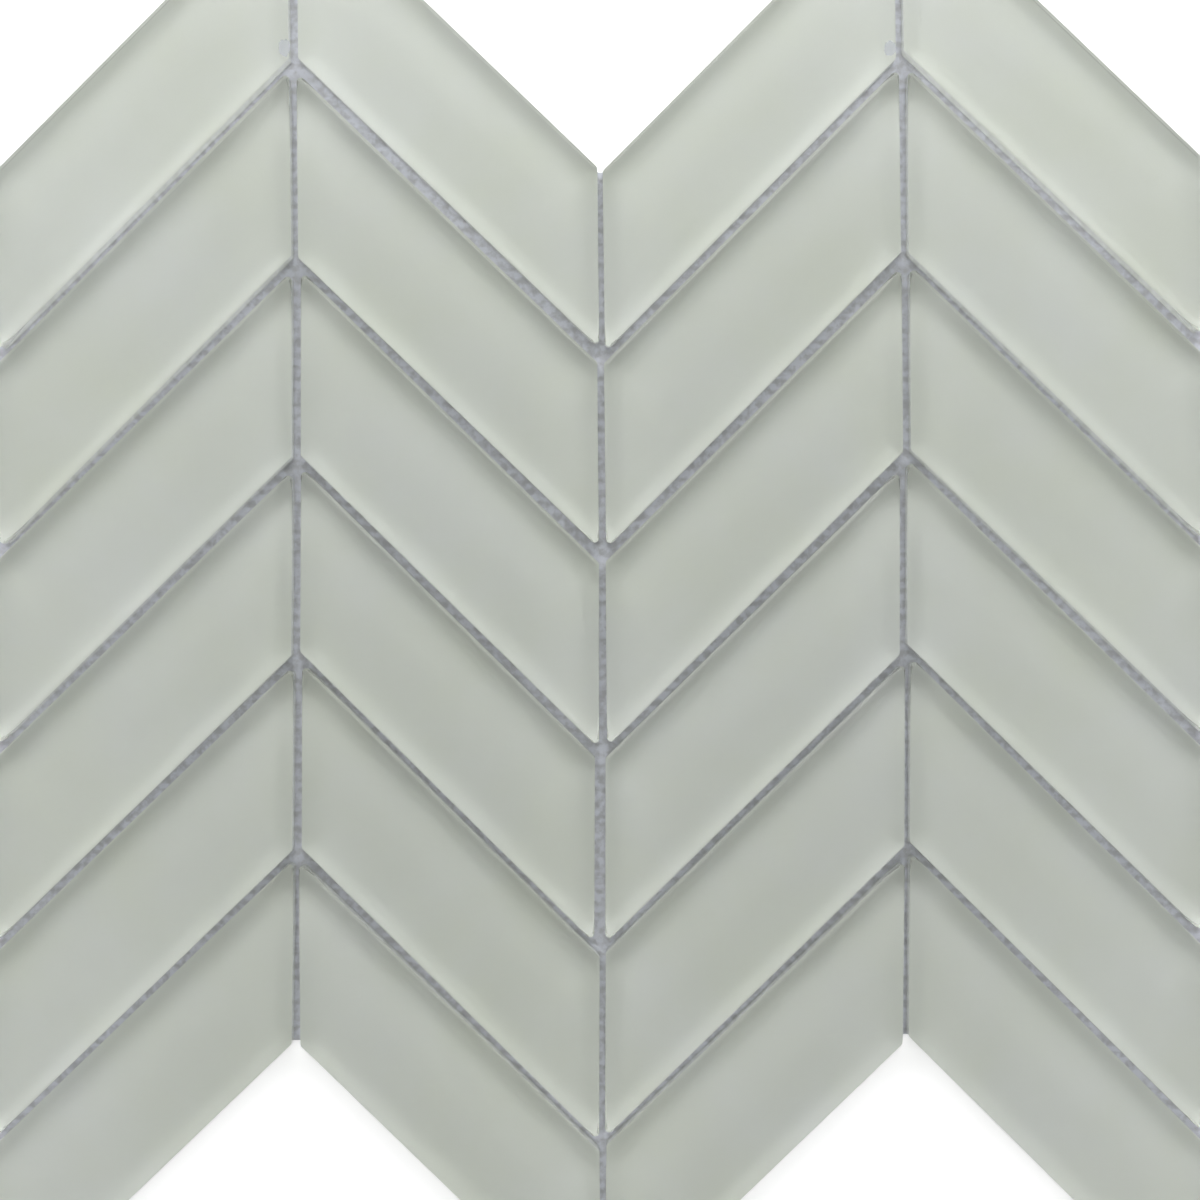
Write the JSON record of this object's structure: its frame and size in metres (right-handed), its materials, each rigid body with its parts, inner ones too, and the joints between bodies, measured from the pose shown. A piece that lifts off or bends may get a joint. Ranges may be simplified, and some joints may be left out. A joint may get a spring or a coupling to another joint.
{
  "type": "chevron glass mosaic tile sheet",
  "caption": "Wall tile sheet of slanted glass strips laid in a chevron on a flexible mesh backing, with zigzag ends that interlock with the next sheet.",
  "frame": {"origin": "middle of the sheet's bounding box, at the underside of the mesh backing that lies on the floor or on the wall's adhesive", "axes": "+X across the columns, +Y up the columns towards the chevrons' peaks, +Z out of the glass faces"},
  "size_m": [0.2328, 0.2792, 0.0085],
  "materials": {
    "coated_glass": "thick clear glass with a soft satin face, colour-coated pale sage on its back",
    "glass_fibre_mesh": "fine open glass-fibre scrim stiffened with milky white glue"
  },
  "bodies": {
    "root": {"mesh_backing": "glass_fibre_mesh", "glass_column_1_row_1": "coated_glass", "glass_column_1_row_2": "coated_glass", "glass_column_1_row_3": "coated_glass", "glass_column_1_row_4": "coated_glass", "glass_column_1_row_5": "coated_glass", "glass_column_1_row_6": "coated_glass", "glass_column_2_row_1": "coated_glass", "glass_column_2_row_2": "coated_glass", "glass_column_2_row_3": "coated_glass", "glass_column_2_row_4": "coated_glass", "glass_column_2_row_5": "coated_glass", "glass_column_2_row_6": "coated_glass", "glass_column_3_row_1": "coated_glass", "glass_column_3_row_2": "coated_glass", "glass_column_3_row_3": "coated_glass", "glass_column_3_row_4": "coated_glass", "glass_column_3_row_5": "coated_glass", "glass_column_3_row_6": "coated_glass", "glass_column_4_row_1": "coated_glass", "glass_column_4_row_2": "coated_glass", "glass_column_4_row_3": "coated_glass", "glass_column_4_row_4": "coated_glass", "glass_column_4_row_5": "coated_glass", "glass_column_4_row_6": "coated_glass"}
  },
  "joints": []
}
